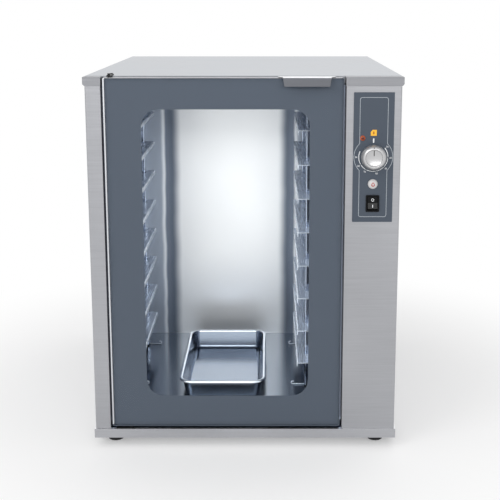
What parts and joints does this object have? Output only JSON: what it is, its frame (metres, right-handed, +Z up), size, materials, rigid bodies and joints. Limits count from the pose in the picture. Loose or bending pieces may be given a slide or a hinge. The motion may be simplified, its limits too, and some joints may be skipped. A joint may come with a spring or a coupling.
{
  "type": "proofing cabinet",
  "caption": "Heated steel cabinet with a glazed side-hinged door, tray ledges, a water pan and a column of controls.",
  "frame": {"origin": "on the floor, in the middle of the footprint", "axes": "+Z up, the door and the controls face -Y, the control column is on the +X side"},
  "size_m": [0.6, 0.7398, 0.7418],
  "materials": {
    "brushed_steel": "fine brushed stainless sheet",
    "bright_steel": "bright annealed stainless sheet",
    "black_steel": "black plated",
    "foot_rubber": "matt",
    "mineral_wool": "soft slab",
    "slate_plate": "smooth satin",
    "slate_border": "opaque border seen through the glass",
    "clear_glass": "toughened, polished",
    "grey_silicone": "matt",
    "white_plastic": "smooth",
    "cream_plastic": "satin silver cream",
    "grey_plastic": "moulded",
    "black_plastic": "moulded",
    "red_lens": "clear red lens",
    "copper": "drawn tube"
  },
  "bodies": {
    "cabinet": {"base_tray": "brushed_steel", "foot_front_left": "foot_rubber", "foot_front_right": "foot_rubber", "foot_rear_left": "foot_rubber", "foot_rear_right": "foot_rubber", "side_panel_left": "brushed_steel", "side_panel_right": "brushed_steel", "back_panel": "brushed_steel", "top_cover": "brushed_steel", "stile_cap": "brushed_steel", "column_cap": "brushed_steel", "cavity_liner": "bright_steel", "insulation_left": "mineral_wool", "insulation_top": "mineral_wool", "insulation_back": "mineral_wool", "rack_upright_left_front": "bright_steel", "rack_upright_left_rear": "bright_steel", "rack_upright_right_front": "bright_steel", "rack_upright_right_rear": "bright_steel", "rack_ledge_left_1": "bright_steel", "rack_ledge_left_2": "bright_steel", "rack_ledge_left_3": "bright_steel", "rack_ledge_left_4": "bright_steel", "rack_ledge_left_5": "bright_steel", "rack_ledge_left_6": "bright_steel", "rack_ledge_left_7": "bright_steel", "rack_ledge_left_8": "bright_steel", "rack_ledge_right_1": "bright_steel", "rack_ledge_right_2": "bright_steel", "rack_ledge_right_3": "bright_steel", "rack_ledge_right_4": "bright_steel", "rack_ledge_right_5": "bright_steel", "rack_ledge_right_6": "bright_steel", "rack_ledge_right_7": "bright_steel", "rack_ledge_right_8": "bright_steel", "hinge_bracket_top": "black_steel", "hinge_bracket_bottom": "black_steel", "control_plate": "slate_plate", "thermostat_body": "grey_plastic", "thermostat_sensor": "copper", "signal_lamp": "red_lens", "button_cup": "black_plastic", "switch_housing": "black_plastic", "heating_element": "bright_steel", "terminal_block": "grey_plastic", "cable_gland": "black_plastic"},
    "door": {"door_frame": "brushed_steel", "door_glass": "clear_glass", "door_border": "slate_border", "door_inner_panel": "bright_steel", "door_gasket": "grey_silicone", "door_handle": "brushed_steel", "hinge_bush_top": "white_plastic", "hinge_bush_bottom": "white_plastic"},
    "dial": {"thermostat_knob": "cream_plastic", "thermostat_shaft": "bright_steel"},
    "button": {"push_button": "white_plastic"},
    "rocker": {"switch_rocker": "black_plastic"},
    "pan": {"water_pan": "bright_steel"}
  },
  "joints": [
    {"name": "door_hinge", "type": "hinge", "parent": "cabinet", "child": "door", "pos_m": [-0.2516, -0.3394, 0.39], "axis": [0, 0, -1], "range_deg": [0, 110]},
    {"name": "thermostat_turn", "type": "hinge", "parent": "cabinet", "child": "dial", "pos_m": [0.2444, -0.3604, 0.5855], "axis": [0, 1, 0], "range_deg": [0, 300]},
    {"name": "button_press", "type": "slide", "parent": "cabinet", "child": "button", "axis": [0, 1, 0], "range_m": [0, 0.0025], "stiffness_N_per_m": 400, "springref_m": -0.001},
    {"name": "rocker_tip", "type": "hinge", "parent": "cabinet", "child": "rocker", "pos_m": [0.2444, -0.347, 0.4964], "axis": [1, 0, 0], "range_deg": [0, 20]},
    {"name": "pan_lift", "type": "slide", "parent": "cabinet", "child": "pan", "axis": [0, 0, 1], "range_m": [0, 0.06]}
  ]
}
